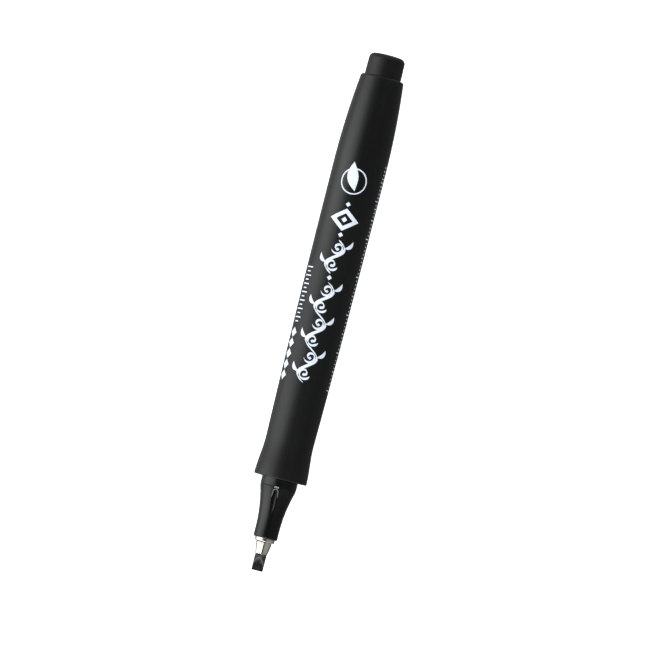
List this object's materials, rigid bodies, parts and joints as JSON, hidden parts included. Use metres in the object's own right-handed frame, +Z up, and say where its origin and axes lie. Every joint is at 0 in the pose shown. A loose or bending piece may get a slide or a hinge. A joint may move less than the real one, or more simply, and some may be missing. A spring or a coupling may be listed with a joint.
{
  "type": "calligraphy marker",
  "caption": "Round plastic calligraphy marker without its cap: bowed barrel flared at the front, vented nose, metal ferrule, broad chisel fibre nib and a stub tail plug.",
  "frame": {"origin": "under the middle of the pen's length, on the surface that it lies on", "axes": "+X along the pen from the nib to the tail; +Z up on the side of the first vent and of one flat of the nib; +Y to the left of someone who looks from the nib to the tail"},
  "size_m": [0.1362, 0.0138, 0.0139],
  "materials": {
    "barrel": "moulded black polypropylene, fine satin texture",
    "plug": "moulded black polypropylene, satin",
    "section": "moulded black plastic, semi-gloss",
    "ferrule": "drawn nickel-coloured sheet, bright with faint turning lines",
    "bush": "natural white moulded plastic, ink-stained at its ends",
    "nib": "bonded polyester fibre rod, ink-soaked and matte",
    "film": "thin clear extruded film, glossy",
    "inked_fibre": "ink-soaked polyester fibre bundle"
  },
  "bodies": {
    "barrel": {"barrel": "barrel"},
    "reservoir": {"reservoir_film": "film", "reservoir_fibre": "inked_fibre"},
    "tail_plug": {"tail_plug": "plug"},
    "front_section": {"section": "section", "ferrule": "ferrule", "nib_bush": "bush"},
    "nib": {"nib": "nib"}
  },
  "joints": [
    {"name": "reservoir_slide", "type": "slide", "parent": "barrel", "child": "reservoir", "axis": [1, 0, 0], "range_m": [0, 0.1]},
    {"name": "tail_plug_pull", "type": "slide", "parent": "reservoir", "child": "tail_plug", "axis": [1, 0, 0], "range_m": [0, 0.015]},
    {"name": "section_pull", "type": "slide", "parent": "barrel", "child": "front_section", "axis": [-1, 0, 0], "range_m": [0, 0.02]},
    {"name": "nib_pull", "type": "slide", "parent": "front_section", "child": "nib", "axis": [-1, 0, 0], "range_m": [0, 0.04]}
  ]
}
